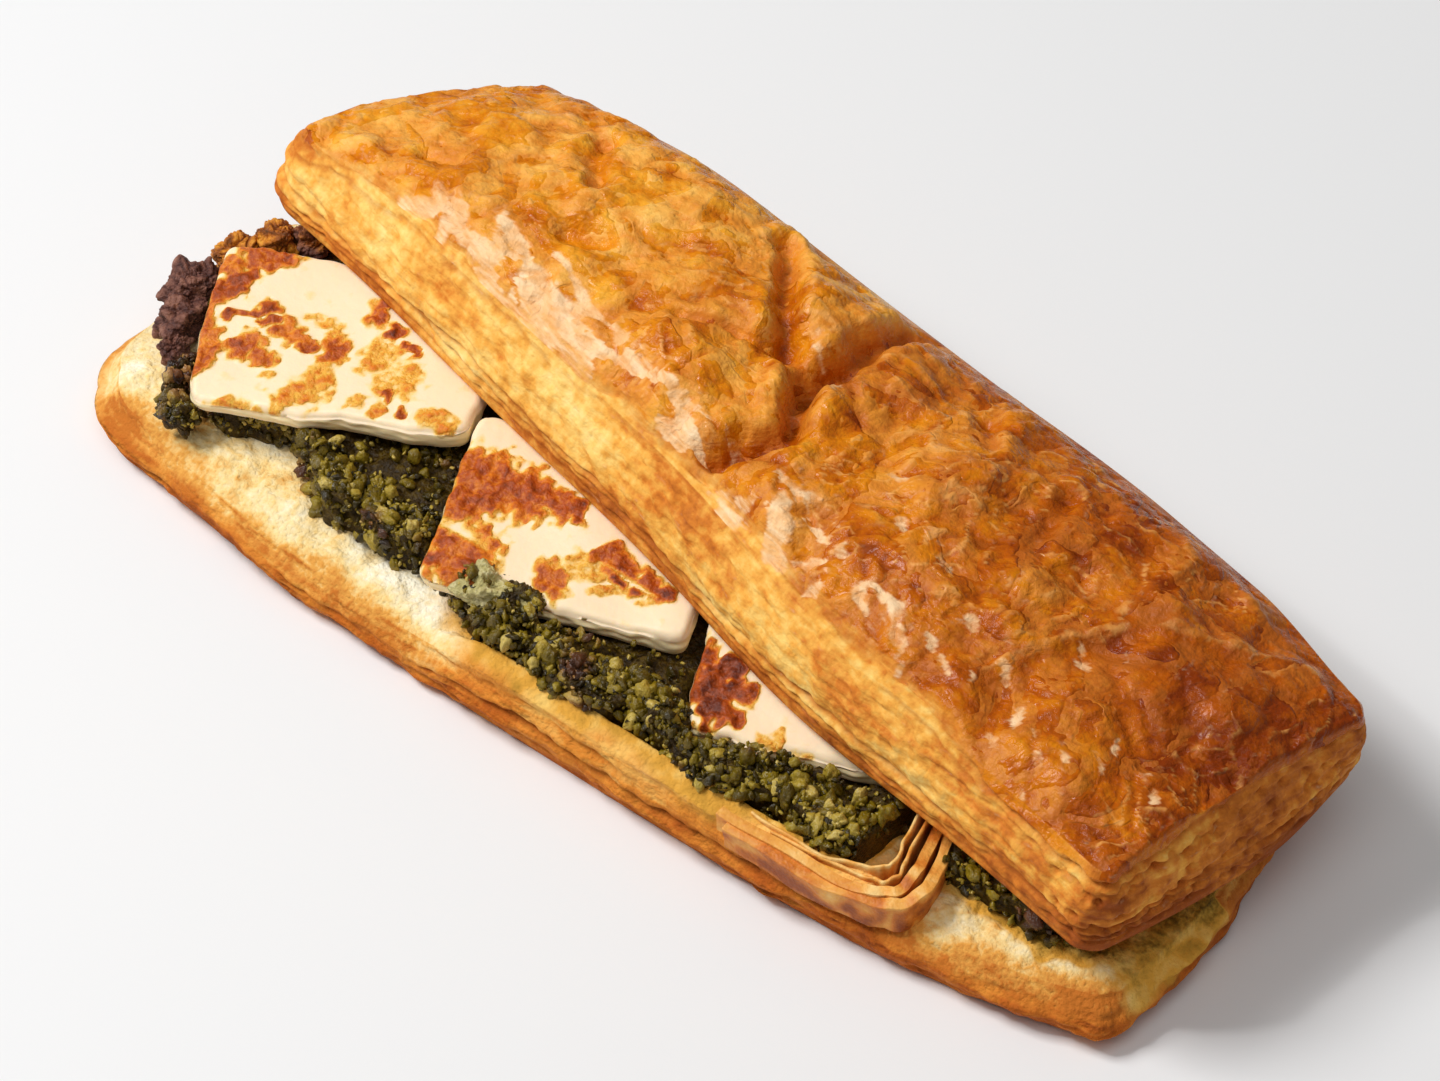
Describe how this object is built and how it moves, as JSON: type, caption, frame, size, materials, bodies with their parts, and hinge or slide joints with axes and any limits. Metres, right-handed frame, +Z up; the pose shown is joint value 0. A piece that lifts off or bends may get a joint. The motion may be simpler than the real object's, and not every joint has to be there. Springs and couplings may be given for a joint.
{
  "type": "halloumi pie",
  "caption": "Long puff pastry pie split through its middle, the glazed lid swung back over green pesto and fried halloumi slices.",
  "frame": {"origin": "middle of the base crust's flat underside", "axes": "+X along the base crust towards the end with the curled leaf, +Y to the side that the lid hangs over, +Z up"},
  "size_m": [0.1975, 0.09, 0.0433],
  "materials": {
    "base_pastry": "baked puff pastry, pale crumb inside and brown at the rim",
    "glazed_pastry": "egg-glazed puff pastry, caramel brown, blistered",
    "pesto": "oily dark green pesto with chopped nuts",
    "halloumi": "white cheese fried golden brown in patches"
  },
  "bodies": {
    "root": {"base_crust": "base_pastry", "lid_crust": "glazed_pastry", "pesto": "pesto", "halloumi_left": "halloumi", "halloumi_middle": "halloumi", "halloumi_right": "halloumi"}
  },
  "joints": []
}
